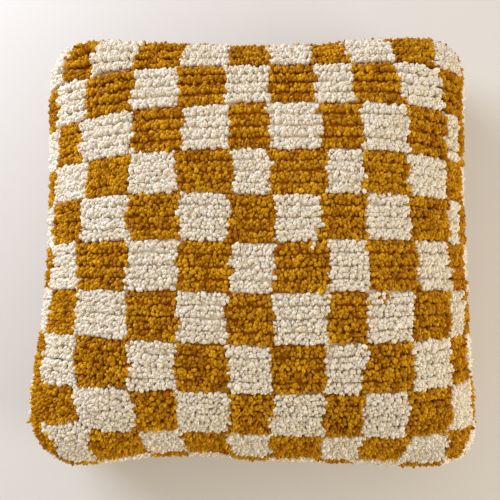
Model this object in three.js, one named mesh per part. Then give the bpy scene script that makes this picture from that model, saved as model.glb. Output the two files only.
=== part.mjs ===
import * as THREE from 'three';

// A Moroccan pouf: a square floor cushion in a hand-knotted wool cover, stuffed firm, lying on its base.
// Millimetres, +Z up. The origin is on the floor, under the middle of the bounding box.

// Overall size
const WIDTH = 596;              // X, across the bulging sides
const DEPTH = 600;              // Y, across the bulging sides
const HEIGHT = 200;             // floor to the crown of the top
const WAIST = 70;               // height at which the sides bulge furthest

// Section from the crown to the foot: two superellipse quarters that meet at the waist
const SHOULDER_POWER = 2.4;     // 2 is a round shoulder, higher is squarer
const FOOT_POWER = 4.0;         // how squarely the sides turn in under the pouf
const FOOT_REACH = 80;          // depth at which the lower quarter would close
const SECTION_STEPS = 240;      // steps of each quarter when its length is measured

// The cover's cloth, measured along its surface
const PANEL_REACH = 300;        // middle of the top to the line where a side begins
const ROW_HEIGHTS = [68, 64, 61, 53, 58, 61, 60, 61, 58, 56]; // rows of checks, back to front
const KNOT_ROWS = 4;            // knot rows in one row of checks
const SIDE_KNOT_ROWS = 10;      // knot rows down the back and front sides, to the foot
const RIB_RELIEF = 3;           // a knot row's ridge over the valleys beside it
const CORNER_SMOOTH = 0.86;     // the ridges die away from this share of the panel to its corners
const ROW_DRIFT = 18;           // how far the rows near the back edge climb from the middle to the right
const DRIFT_START = 50;         // the climb grows from here to the back edge, and ends just before it
const COLUMN_STEPS = 11;        // steps across the cloth, middle to edge
const CROWDING = 0.6;           // 0 spaces those steps evenly, 1 crowds them at the shoulders
const WALL_STEPS = 6;           // steps down a side where its ribs run downwards

// Corners seen from above: the power of the outline's superellipse in each quarter
const CORNERS = [
  { right: false, back: true, power: 12 },
  { right: true, back: true, power: 12 },
  { right: true, back: false, power: 14 },
  { right: false, back: false, power: 7 },
];

// Where the stuffing pushes the outline out, or the cloth draws it in.
// x and y are places on a square outline that runs from -1 to 1, out is in mm, spread is in the same
// units as x and y.
const OUTLINE_SWELLS = [
  { x: -1, y: -0.85, out: 23, spread: 0.42 },
  { x: -1, y: 0.9, out: 7, spread: 0.5 },
  { x: 0.85, y: 1, out: 11, spread: 0.5 },
  { x: 0.85, y: -1, out: 6, spread: 0.35 },
  { x: 0.1, y: 1, out: -4, spread: 0.5 },
  { x: -0.45, y: -1, out: -12, spread: 0.38 },
];
const SWELL_START = 0.75;       // swells of the outline fade in from this share of the panel

// Rises and hollows of the top, in mm from the middle of the pouf
const TOP_SWELLS = [
  { x: -120, y: 90, up: 2.5, spread: 90 },
  { x: 110, y: -60, up: 2, spread: 80 },
  { x: 40, y: 150, up: -3, spread: 70 },
  { x: -90, y: -120, up: -2.5, spread: 75 },
];

// The plain cloth underneath
const BASE_THICK = 3;
const GAP = 0.3;                // clearance between the cover and the base cloth
const BASE_MARGIN = 3;          // the base cloth ends this far inside the cover's foot

const UNDERSIDE = BASE_THICK + GAP;

// Points of the section: share of the half width, height, and length of cloth from the crown
function measureSection() {
  const halfWidth = WIDTH / 2;
  const points = [{ share: 0, z: HEIGHT, length: 0 }];
  const add = (share, z) => {
    const last = points[points.length - 1];
    const step = Math.hypot((share - last.share) * halfWidth, z - last.z);
    points.push({ share, z, length: last.length + step });
  };
  for (let i = 1; i <= SECTION_STEPS; i += 1) {
    const turn = (i / SECTION_STEPS) * Math.PI / 2;
    const share = Math.sin(turn) ** (2 / SHOULDER_POWER);
    const rise = Math.max(0, Math.cos(turn)) ** (2 / SHOULDER_POWER);
    add(share, WAIST + (HEIGHT - WAIST) * rise);
  }
  const footDrop = (WAIST - UNDERSIDE) / FOOT_REACH;
  const footTurn = Math.asin(footDrop ** (FOOT_POWER / 2));
  for (let i = 1; i <= SECTION_STEPS; i += 1) {
    const turn = (i / SECTION_STEPS) * footTurn;
    const share = Math.cos(turn) ** (2 / FOOT_POWER);
    const drop = Math.sin(turn) ** (2 / FOOT_POWER);
    add(share, WAIST - FOOT_REACH * drop);
  }
  return points;
}

const SECTION = measureSection();
const CLOTH_REACH = SECTION[SECTION.length - 1].length;
const WALL = CLOTH_REACH - PANEL_REACH;

function sectionAt(length) {
  let i = 1;
  while (i < SECTION.length - 1 && SECTION[i].length < length) i += 1;
  const a = SECTION[i - 1];
  const b = SECTION[i];
  const part = THREE.MathUtils.clamp((length - a.length) / (b.length - a.length), 0, 1);
  return {
    share: THREE.MathUtils.lerp(a.share, b.share, part),
    z: THREE.MathUtils.lerp(a.z, b.z, part),
  };
}

function bell(distance, spread) {
  return Math.exp(-((distance / spread) ** 2));
}

// Place of a point of the cover. s and t are lengths of cloth from the middle of the top towards +X
// and +Y. Past PANEL_REACH they run down a side, and one of the two stays within the panel.
function coverPoint(s, t) {
  const reach = Math.max(Math.abs(s), Math.abs(t), 1e-6);
  const ring = Math.min(reach / PANEL_REACH, 1);
  const p = THREE.MathUtils.clamp(s / (PANEL_REACH * ring), -1, 1);
  const q = THREE.MathUtils.clamp(t / (PANEL_REACH * ring), -1, 1);
  const { share, z } = sectionAt(reach);
  const corner = CORNERS.find((c) => c.right === (p >= 0) && c.back === (q >= 0));
  const power = corner.power / ring ** 2;
  const round = (Math.abs(p) ** power + Math.abs(q) ** power) ** (-1 / power);
  let swell = 0;
  for (const row of OUTLINE_SWELLS) {
    swell += row.out * bell(Math.hypot(p - row.x, q - row.y), row.spread);
  }
  swell *= THREE.MathUtils.smoothstep(ring, SWELL_START, 1);
  const x = p * round * (share * WIDTH / 2 + swell);
  const y = q * round * (share * DEPTH / 2 + swell);
  const onTop = THREE.MathUtils.clamp((z - WAIST) / (HEIGHT - WAIST), 0, 1);
  let lift = 0;
  for (const row of TOP_SWELLS) {
    lift += row.up * bell(Math.hypot(x - row.x, y - row.y), row.spread);
  }
  return new THREE.Vector3(x, y, z + lift * onTop);
}

function coverNormal(s, t) {
  const step = 1;
  const inS = Math.sign(s) || 1;
  const inT = Math.sign(t) || 1;
  const here = coverPoint(s, t);
  const alongS = here.clone().sub(coverPoint(s - inS * step, t)).multiplyScalar(inS);
  const alongT = here.clone().sub(coverPoint(s, t - inT * step)).multiplyScalar(inT);
  return alongS.cross(alongT).normalize();
}

// The rows near the back edge don't run level: they sink to the left and climb to the right
function rowDrift(s, t) {
  const part = THREE.MathUtils.clamp((t - DRIFT_START) / (PANEL_REACH - DRIFT_START), 0, 1);
  const across = THREE.MathUtils.clamp(s / PANEL_REACH, -1, 1);
  return ROW_DRIFT * across * part * (1 - part ** 8);
}

// Lines along the knot rows, back to front: a valley at each edge of a knot row, a ridge in its middle
function knotLines() {
  const lines = [{ t: PANEL_REACH, relief: -RIB_RELIEF }];
  let edge = PANEL_REACH;
  for (const height of ROW_HEIGHTS) {
    for (let i = 0; i < KNOT_ROWS; i += 1) {
      const knot = height / KNOT_ROWS;
      lines.push({ t: edge - knot / 2, relief: 0 });
      lines.push({ t: edge - knot, relief: -RIB_RELIEF });
      edge -= knot;
    }
  }
  return lines;
}

// Lines across the knot rows, left to right, closer together at the shoulders
function columnLines() {
  const lines = [];
  for (let i = -COLUMN_STEPS; i <= COLUMN_STEPS; i += 1) {
    const even = i / COLUMN_STEPS;
    const crowded = Math.sin(even * Math.PI / 2);
    lines.push(PANEL_REACH * THREE.MathUtils.lerp(even, crowded, CROWDING));
  }
  return lines;
}

// The triangles of one closed solid, with shared points
class Skin {
  constructor() {
    this.positions = [];
    this.indices = [];
  }

  add(point) {
    this.positions.push(point.x, point.y, point.z);
    return this.positions.length / 3 - 1;
  }

  addCover(s, t, relief) {
    const along = t + rowDrift(s, t);
    const nearer = Math.min(Math.abs(s), Math.abs(along)) / PANEL_REACH;
    const fade = THREE.MathUtils.smoothstep(nearer, CORNER_SMOOTH, 1);
    const level = THREE.MathUtils.lerp(relief, -RIB_RELIEF / 2, fade);
    return this.add(coverPoint(s, along).addScaledVector(coverNormal(s, along), level));
  }

  quad(a, b, c, d) {
    this.indices.push(a, b, c, a, c, d);
  }

  // Fills between two lines of points, the second on the right of the first when walking them
  zip(left, right) {
    let i = 0;
    let j = 0;
    while (i < left.length - 1 || j < right.length - 1) {
      const leftNext = (i + 1) / (left.length - 1);
      const rightNext = (j + 1) / (right.length - 1);
      if (j >= right.length - 1 || (i < left.length - 1 && leftNext <= rightNext)) {
        this.indices.push(left[i], right[j], left[i + 1]);
        i += 1;
      } else {
        this.indices.push(left[i], right[j], right[j + 1]);
        j += 1;
      }
    }
  }

  geometry() {
    const geometry = new THREE.BufferGeometry();
    geometry.setAttribute('position', new THREE.Float32BufferAttribute(this.positions, 3));
    geometry.setIndex(this.indices);
    geometry.computeVertexNormals();
    return geometry;
  }
}

function makeCover() {
  const skin = new Skin();
  const knots = knotLines();
  const columns = columnLines();
  const lastKnot = knots.length - 1;
  const lastColumn = columns.length - 1;

  // Top, one line of points for each knot line. Each quad is split along the line to its own corner.
  const top = knots.map(({ t, relief }) => columns.map((s) => skin.addCover(s, t, relief)));
  for (let j = 0; j < lastKnot; j += 1) {
    for (let i = 0; i < lastColumn; i += 1) {
      const ring = [top[j][i], top[j + 1][i], top[j + 1][i + 1], top[j][i + 1]];
      if ((i < COLUMN_STEPS) !== (knots[j].t > 0)) ring.push(ring.shift());
      skin.quad(...ring);
    }
  }

  // Back and front sides: the knot rows lie one above the other
  const ribSteps = SIDE_KNOT_ROWS * 2;
  const stacked = (edge, side) => {
    const lines = [edge];
    for (let k = 1; k <= ribSteps; k += 1) {
      const t = side * (PANEL_REACH + (WALL * k) / ribSteps);
      const relief = k % 2 === 0 ? -RIB_RELIEF : 0;
      const level = k === ribSteps ? 0 : relief;
      lines.push(columns.map((s) => skin.addCover(s, t, level)));
    }
    return lines;
  };
  const back = stacked(top[0], 1);
  const front = stacked(top[lastKnot], -1);
  for (let k = 0; k < ribSteps; k += 1) {
    for (let i = 0; i < lastColumn; i += 1) {
      skin.quad(front[k][i], front[k + 1][i], front[k + 1][i + 1], front[k][i + 1]);
      skin.quad(back[k][i + 1], back[k + 1][i + 1], back[k + 1][i], back[k][i]);
    }
  }

  // Left and right sides: the knot rows run down, between the corners that the other sides made
  const downwards = (column, side) => {
    const lines = [];
    for (let j = 1; j < lastKnot; j += 1) {
      const line = [top[j][column]];
      for (let k = 1; k <= WALL_STEPS; k += 1) {
        const s = side * (PANEL_REACH + (WALL * k) / WALL_STEPS);
        line.push(skin.addCover(s, knots[j].t, k === WALL_STEPS ? 0 : knots[j].relief));
      }
      lines.push(line);
    }
    return lines;
  };
  const left = downwards(0, -1);
  const right = downwards(lastColumn, 1);
  for (let j = 0; j < left.length - 1; j += 1) {
    for (let k = 0; k < WALL_STEPS; k += 1) {
      skin.quad(left[j][k], left[j][k + 1], left[j + 1][k + 1], left[j + 1][k]);
      skin.quad(right[j + 1][k], right[j + 1][k + 1], right[j][k + 1], right[j][k]);
    }
  }
  const cornerLine = (lines, column) => lines.map((line) => line[column]);
  skin.zip(left[0], cornerLine(back, 0));
  skin.zip(cornerLine(front, 0), left[left.length - 1]);
  skin.zip(cornerLine(back, lastColumn), right[0]);
  skin.zip(right[right.length - 1], cornerLine(front, lastColumn));

  // Flat underside, from the foot of every line to the middle
  const foot = [
    ...front[ribSteps],
    ...right.map((line) => line[WALL_STEPS]).reverse(),
    ...[...back[ribSteps]].reverse(),
    ...left.map((line) => line[WALL_STEPS]),
  ];
  const middle = skin.add(new THREE.Vector3(0, 0, UNDERSIDE));
  foot.forEach((point, i) => {
    skin.indices.push(middle, foot[(i + 1) % foot.length], point);
  });
  return skin.geometry();
}

// The base cloth follows the cover's foot all round
function makeBase() {
  const foot = CLOTH_REACH;
  const columns = columnLines();
  const ring = [
    ...columns.map((s) => coverPoint(s, -foot)),
    ...columns.slice(1, -1).map((t) => coverPoint(foot, t)),
    ...columns.map((s) => coverPoint(-s, foot)),
    ...columns.slice(1, -1).map((t) => coverPoint(-foot, -t)),
  ];
  const shape = new THREE.Shape(ring.map((point) => {
    const inwards = 1 - BASE_MARGIN / Math.hypot(point.x, point.y);
    return new THREE.Vector2(point.x * inwards, point.y * inwards);
  }));
  return new THREE.ExtrudeGeometry(shape, { depth: BASE_THICK, bevelEnabled: false });
}

const wool = new THREE.MeshStandardMaterial({ color: '#c08a24', roughness: 0.95, metalness: 0 });
const cotton = new THREE.MeshStandardMaterial({ color: '#d9cfb8', roughness: 0.9, metalness: 0 });

const cover = new THREE.Mesh(makeCover(), wool);
cover.name = 'pile_cover';
const base = new THREE.Mesh(makeBase(), cotton);
base.name = 'base_panel';

const pouf = new THREE.Group();
pouf.add(cover, base);

// The outline is uneven, so the whole is moved to put the middle of its box over the origin
const box = new THREE.Box3().setFromObject(pouf);
const middle = box.getCenter(new THREE.Vector3());
pouf.position.set(-middle.x, -middle.y, 0);

export default pouf;
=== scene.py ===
"""A Moroccan pouf: a stuffed square floor cushion in a hand-knotted wool cover of mustard and cream checks.

The cover is described by the lengths of its cloth, as a knotter counts them: s runs from the middle of the
top towards +X, t towards +Y, and past the panel's reach both run down a side. The stuffed body is simulated
cloth, and the pile is knotted into it row by row, in two staggered lines of yarn ends to a row.
"""

import sys
import logging
import math
from dataclasses import dataclass, field
from enum import Enum

import bpy
import numpy as np
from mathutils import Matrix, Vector, noise
from mathutils.bvhtree import BVHTree
from mathutils.kdtree import KDTree


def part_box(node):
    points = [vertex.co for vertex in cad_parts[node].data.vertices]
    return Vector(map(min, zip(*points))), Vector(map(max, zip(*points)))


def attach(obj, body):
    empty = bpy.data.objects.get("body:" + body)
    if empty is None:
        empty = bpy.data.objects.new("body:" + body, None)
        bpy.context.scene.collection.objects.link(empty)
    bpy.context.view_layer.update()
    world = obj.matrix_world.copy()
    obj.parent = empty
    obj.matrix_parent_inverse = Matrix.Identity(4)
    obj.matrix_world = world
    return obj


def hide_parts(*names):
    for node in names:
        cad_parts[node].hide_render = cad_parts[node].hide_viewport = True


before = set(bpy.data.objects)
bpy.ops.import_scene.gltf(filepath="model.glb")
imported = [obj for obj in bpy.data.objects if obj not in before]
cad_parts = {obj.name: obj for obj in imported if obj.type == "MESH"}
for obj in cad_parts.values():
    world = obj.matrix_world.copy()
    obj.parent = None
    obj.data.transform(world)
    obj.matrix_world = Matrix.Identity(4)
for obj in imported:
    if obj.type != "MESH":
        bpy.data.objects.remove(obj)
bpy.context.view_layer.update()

MM = 0.001
TINY = 1e-9                          # shortest length that is divided by
LEAST_REACH = 1e-6                   # and the shortest distance from the middle of a cloth
FIELDS_APART = 31.7                  # noise units between two unlike uneven fields
LOG = logging.getLogger("pouf")


class Yarn(Enum):
    """The two wools that the cover is knotted from."""

    MUSTARD = "mustard"
    CREAM = "cream"


@dataclass(frozen=True)
class Spun:
    """How a wool was spun.

    Args:
        width: Width of one strand in mm.
        spring: How unruly its ends stand, 1 for the usual.
    """

    width: float
    spring: float


class Panel(Enum):
    """The faces of the cover that carry pile, as they are seen."""

    TOP_BACK = "top_back"
    TOP_FRONT = "top_front"
    BACK = "back_side"
    FRONT = "front_side"
    LEFT = "left_side"
    RIGHT = "right_side"


@dataclass(frozen=True)
class Swell:
    """A soft rise or hollow.

    Args:
        x: Place towards +X.
        y: Place towards +Y.
        amount: Height of the rise in mm, negative for a hollow.
        spread: Distance at which it has mostly faded.
    """

    x: float
    y: float
    amount: float
    spread: float


def smoothstep(value: np.ndarray, low: float, high: float) -> np.ndarray:
    """Eases from 0 to 1.

    Args:
        value: What is eased.
        low: Where the result leaves 0.
        high: Where the result reaches 1.

    Returns:
        The eased share, from 0 to 1.
    """
    part = np.clip((value - low) / (high - low), 0.0, 1.0)
    return part * part * (3.0 - 2.0 * part)


def unit(vectors: np.ndarray) -> np.ndarray:
    """Vectors of length one.

    Args:
        vectors: Rows of three numbers.

    Returns:
        The same directions at length one.
    """
    return vectors / np.maximum(np.linalg.norm(vectors, axis=1, keepdims=True), TINY)


def clumps(places: np.ndarray, size: float, number: int) -> np.ndarray:
    """A smooth uneven field.

    Args:
        places: Rows of x, y, z in mm.
        size: Width of a clump in mm.
        number: Which of several unlike fields.

    Returns:
        One value a place, from about -1 to 1.
    """
    apart = Vector((0.0, 0.0, FIELDS_APART * number))
    return np.array([noise.noise(Vector(place / size) + apart) for place in places])


@dataclass
class CoverForm:
    """The outer form of the stuffed cover, in mm, and the place on it of each length of cloth."""

    width: float = 596.0             # across the bulging sides
    depth: float = 600.0
    height: float = 200.0
    waist: float = 70.0              # height at which the sides bulge furthest
    underside: float = 3.3
    shoulder_power: float = 2.4      # 2 is a round shoulder, higher is squarer
    foot_power: float = 4.0
    foot_reach: float = 80.0
    section_steps: int = 240
    outline_points: int = 121        # along each side, where the outline is measured
    panel_reach: float = 300.0       # middle of the top to the line where a side begins
    swell_start: float = 0.75        # swells of the outline fade in from this share of the panel
    corner_left_back: float = 12.0   # superellipse power of each quarter of the outline
    corner_right_back: float = 12.0
    corner_right_front: float = 14.0
    corner_left_front: float = 7.0
    outline_swells: tuple[Swell, ...] = (
        Swell(-1.0, -0.85, 23.0, 0.42),
        Swell(-1.0, 0.9, 7.0, 0.5),
        Swell(0.85, 1.0, 11.0, 0.5),
        Swell(0.85, -1.0, 6.0, 0.35),
        Swell(0.1, 1.0, -4.0, 0.5),
        Swell(-0.45, -1.0, -12.0, 0.38),
    )
    top_swells: tuple[Swell, ...] = (
        Swell(-120.0, 90.0, 2.5, 90.0),
        Swell(110.0, -60.0, 2.0, 80.0),
        Swell(40.0, 150.0, -3.0, 70.0),
        Swell(-90.0, -120.0, -2.5, 75.0),
    )
    shift: np.ndarray = field(default_factory=lambda: np.zeros(3))

    def __post_init__(self) -> None:
        """Measures the section and centres the form in the frame's box."""
        self._share, self._z, self._length = self._measure_section()
        self.cloth_reach = float(self._length[-1])
        self.wall = self.cloth_reach - self.panel_reach
        ring = np.linspace(-self.panel_reach, self.panel_reach, self.outline_points)
        reach = np.full_like(ring, self._waist_length())
        sides = [(ring, reach), (ring, -reach), (reach, ring), (-reach, ring)]
        outline = np.concatenate([self.place(s, t) for s, t in sides])
        low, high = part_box("pile_cover")
        middle = (np.array(low) + np.array(high)) / 2.0 / MM
        own = (outline.min(axis=0) + outline.max(axis=0)) / 2.0
        self.shift = np.array([middle[0] - own[0], middle[1] - own[1], 0.0])

    def _measure_section(self) -> tuple[np.ndarray, np.ndarray, np.ndarray]:
        """Walks the section from the crown to the foot.

        Returns:
            Share of the half width, height, and length of cloth, one number a step.
        """
        turn = np.linspace(0.0, math.pi / 2.0, self.section_steps + 1)
        share = np.sin(turn) ** (2.0 / self.shoulder_power)
        rise = np.maximum(np.cos(turn), 0.0) ** (2.0 / self.shoulder_power)
        z = self.waist + (self.height - self.waist) * rise
        drop = (self.waist - self.underside) / self.foot_reach
        foot_turn = math.asin(drop ** (self.foot_power / 2.0))
        turn = np.linspace(0.0, foot_turn, self.section_steps + 1)[1:]
        share = np.concatenate([share, np.cos(turn) ** (2.0 / self.foot_power)])
        z = np.concatenate([z, self.waist - self.foot_reach * np.sin(turn) ** (2.0 / self.foot_power)])
        steps = np.hypot(np.diff(share) * self.width / 2.0, np.diff(z))
        return share, z, np.concatenate([[0.0], np.cumsum(steps)])

    def _waist_length(self) -> float:
        """Length of cloth from the crown to the waist."""
        return float(self._length[self.section_steps])

    def place(self, s: np.ndarray, t: np.ndarray) -> np.ndarray:
        """Places lengths of cloth on the form.

        Args:
            s: Lengths towards +X, in mm.
            t: Lengths towards +Y, in mm.

        Returns:
            Rows of x, y, z in mm.
        """
        reach = np.maximum(np.maximum(np.abs(s), np.abs(t)), LEAST_REACH)
        ring = np.minimum(reach / self.panel_reach, 1.0)
        p = np.clip(s / (self.panel_reach * ring), -1.0, 1.0)
        q = np.clip(t / (self.panel_reach * ring), -1.0, 1.0)
        share = np.interp(reach, self._length, self._share)
        z = np.interp(reach, self._length, self._z)
        back = np.where(p >= 0.0, self.corner_right_back, self.corner_left_back)
        front = np.where(p >= 0.0, self.corner_right_front, self.corner_left_front)
        power = np.where(q >= 0.0, back, front) / ring**2
        rounding = np.maximum(np.abs(p) ** power + np.abs(q) ** power, 1.0) ** (-1.0 / power)
        swell = np.zeros_like(p)
        for row in self.outline_swells:
            swell += row.amount * np.exp(-((np.hypot(p - row.x, q - row.y) / row.spread) ** 2))
        swell *= smoothstep(ring, self.swell_start, 1.0)
        x = p * rounding * (share * self.width / 2.0 + swell)
        y = q * rounding * (share * self.depth / 2.0 + swell)
        on_top = np.clip((z - self.waist) / (self.height - self.waist), 0.0, 1.0)
        for row in self.top_swells:
            z = z + row.amount * on_top * np.exp(-((np.hypot(x - row.x, y - row.y) / row.spread) ** 2))
        return np.stack([x, y, z], axis=1) + self.shift

    def axes(self, s: np.ndarray, t: np.ndarray) -> tuple[np.ndarray, np.ndarray, np.ndarray]:
        """Directions on the form.

        Args:
            s: Lengths towards +X, in mm.
            t: Lengths towards +Y, in mm.

        Returns:
            Unit vectors out of the cloth, along s and along t.
        """
        in_s = np.where(s < 0.0, -1.0, 1.0)
        in_t = np.where(t < 0.0, -1.0, 1.0)
        here = self.place(s, t)
        along_s = unit((here - self.place(s - in_s, t)) * in_s[:, None])
        along_t = unit((here - self.place(s, t - in_t)) * in_t[:, None])
        return unit(np.cross(along_s, along_t)), along_s, along_t


@dataclass
class CheckPattern:
    """The checkerboard, counted in columns from the left and rows from the back.

    No line of a hand-knotted cover is straight. The two tables of slips say how far the lines between the
    checks lie from their even places, as measured on such a cover.
    """

    reach: float = 300.0             # mm from the middle of the top to the line where a side begins
    cloth_reach: float = 449.3       # mm from the middle of the top to the foot
    stations: tuple[float, ...] = (-350.0, -230.0, -110.0, 0.0, 110.0, 230.0, 350.0)   # mm, of the slips
    row_slips: tuple[tuple[int, ...], ...] = (
        (0, 14, 12, 14, 10, 4, 0),
        (-17, -16, -1, 4, 6, 7, -1),
        (-10, -12, -3, 5, 4, 5, 6),
        (-5, -7, -3, 1, 1, 0, 5),
        (-1, 0, 0, -3, -1, 2, 2),
        (0, 0, 0, -5, 1, 2, 2),
        (1, 1, 0, -3, -1, 0, -1),
        (8, 5, -1, -6, -3, 0, -1),
        (20, 0, 1, -4, -4, 1, 0),
        (28, 1, 2, -5, -8, -5, 8),
        (0, 0, 0, 0, 2, 6, 6),
    )                                # mm that the line behind each row of checks lies too far back
    edge_slips: tuple[tuple[int, ...], ...] = (
        (2, -3, -7, -2, -4, -2, -7, -7, -6, 0, 0),
        (-1, -3, 1, -2, -6, -4, 1, -3, -4, 3, 5),
        (2, -8, 2, 1, -1, 0, 1, 0, 0, 5, -12),
        (-3, 3, 0, -1, 1, -1, 4, 1, 3, 4, -1),
        (-6, 1, -4, 4, -2, 3, -5, 5, 1, 8, -12),
        (-10, -6, -5, 0, 5, 4, 4, 4, 11, 6, 0),
        (-4, -4, -2, 1, -1, 2, 3, 1, 3, 4, -12),
        (-6, -4, 1, 1, -1, 0, 0, 0, 0, 0, -3),
        (-26, -8, 7, -3, 0, 3, 4, 1, -4, -1, 0),
        (0, 11, 8, 0, 0, -1, 7, 3, 5, -4, -10, -26),
    )                                # mm that the column edges of each row of checks lie to the right
    first_slipped: int = 2           # number of even edges before the first that slips
    column_edges: tuple[float, ...] = (
        -399.0, -339.0, -279.0, -228.0, -159.0, -99.0, -35.0, 17.0,
        79.0, 131.0, 191.0, 251.0, 300.0, 360.0, 420.0,
    )                                # mm of cloth from the middle
    first_column: int = -3           # column left of the first edge
    row_heights: tuple[float, ...] = (63.0, 66.0, 61.0, 54.0, 58.0, 62.0, 60.0, 62.0, 58.0, 56.0)
    knot_rows: int = 4               # knot rows in one check
    side_knot_rows: int = 10         # knot rows down the back and front sides
    jog: float = 2.6                 # how far a check's edge steps from one knot row to the next
    wander: float = 6.0              # how far it strays over a few rows, at most
    wander_across: float = 0.37      # noise units to a mm between edges, so that no two stray alike
    wander_along: float = 0.16       # noise units to a knot row
    wander_slice: float = 3.1        # which slice of the noise they are taken from
    seed: int = 1011

    def edges_of(self, check_row: int, knot_row: int) -> np.ndarray:
        """Edges of the columns in one knot row.

        Args:
            check_row: Row of checks that it belongs to.
            knot_row: Number of the row, which fixes its steps.

        Returns:
            Lengths towards +X, in mm.
        """
        edges = np.array(self.column_edges)
        slips = self.edge_slips[min(max(check_row, 0), len(self.edge_slips) - 1)]
        edges[self.first_slipped:self.first_slipped + len(slips)] += slips
        chance = np.random.default_rng(self.seed + knot_row)
        row = knot_row * self.wander_along
        stray = [noise.noise(Vector((edge * self.wander_across, row, self.wander_slice))) for edge in edges]
        return edges + self.wander * np.array(stray) + chance.uniform(-self.jog, self.jog, len(edges))

    def slipped(self, s: np.ndarray, t: np.ndarray) -> np.ndarray:
        """Where a knot row really lies, since no row of the cover is quite straight.

        Args:
            s: Lengths towards +X, in mm.
            t: The row's length towards +Y, in mm.

        Returns:
            The lengths towards +Y after the slip.
        """
        lines = self.reach - np.cumsum((0.0,) + self.row_heights)
        lines = np.concatenate([[self.cloth_reach], lines, [-self.cloth_reach]])
        slips = np.array([np.interp(s, self.stations, row) for row in self.row_slips])
        edge = np.zeros((1, len(s)))
        slips = np.concatenate([edge, slips, edge])
        place = np.interp(-t, -lines, np.arange(len(lines)))
        before = np.minimum(place.astype(int), len(lines) - 2)
        part = place - before
        each = np.arange(len(s))
        return t + slips[before, each] * (1.0 - part) + slips[before + 1, each] * part

    def is_mustard(self, s: np.ndarray, check_row: int, knot_row: int) -> np.ndarray:
        """Which knots of a row are mustard.

        Args:
            s: Lengths towards +X, in mm.
            check_row: Row of checks, 0 for the first on the top.
            knot_row: Number of the knot row.

        Returns:
            True where the knot is mustard.
        """
        column = np.searchsorted(self.edges_of(check_row, knot_row), s) + self.first_column
        return (column + check_row) % 2 == 0


def linear(colour: str) -> tuple[float, float, float, float]:
    """A colour for a shader.

    Args:
        colour: sRGB hex, such as "#c08a24".

    Returns:
        Linear red, green, blue and an alpha of one.
    """
    parts = [int(colour[i:i + 2], 16) / 255.0 for i in (1, 3, 5)]
    bent = [c / 12.92 if c <= 0.04045 else ((c + 0.055) / 1.055) ** 2.4 for c in parts]
    return bent[0], bent[1], bent[2], 1.0


def add_node(tree: bpy.types.NodeTree, kind: str, settings: dict | None = None,
             links: dict | None = None) -> bpy.types.Node:
    """Adds a shader node.

    Args:
        tree: The material's node tree.
        kind: The node's type name.
        settings: Attributes by name, or socket values under an integer or a socket's name.
        links: Output sockets by the input that they feed.

    Returns:
        The new node.
    """
    node = tree.nodes.new(kind)
    for key, value in (settings or {}).items():
        if isinstance(key, str) and hasattr(node, key):
            setattr(node, key, value)
        else:
            node.inputs[key].default_value = value
    for key, source in (links or {}).items():
        tree.links.new(source, node.inputs[key])
    return node


def start_finish(name: str, sockets: dict[str, object]
                 ) -> tuple[bpy.types.Material, bpy.types.NodeTree, bpy.types.Node]:
    """Starts a finish.

    Args:
        name: Its name.
        sockets: What the shader's sockets hold, by their names.

    Returns:
        The material, its node tree and its shader.
    """
    material = bpy.data.materials.new(name)
    material.use_nodes = True
    shader = material.node_tree.nodes["Principled BSDF"]
    for socket, value in sockets.items():
        shader.inputs[socket].default_value = value
    return material, material.node_tree, shader


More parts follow.
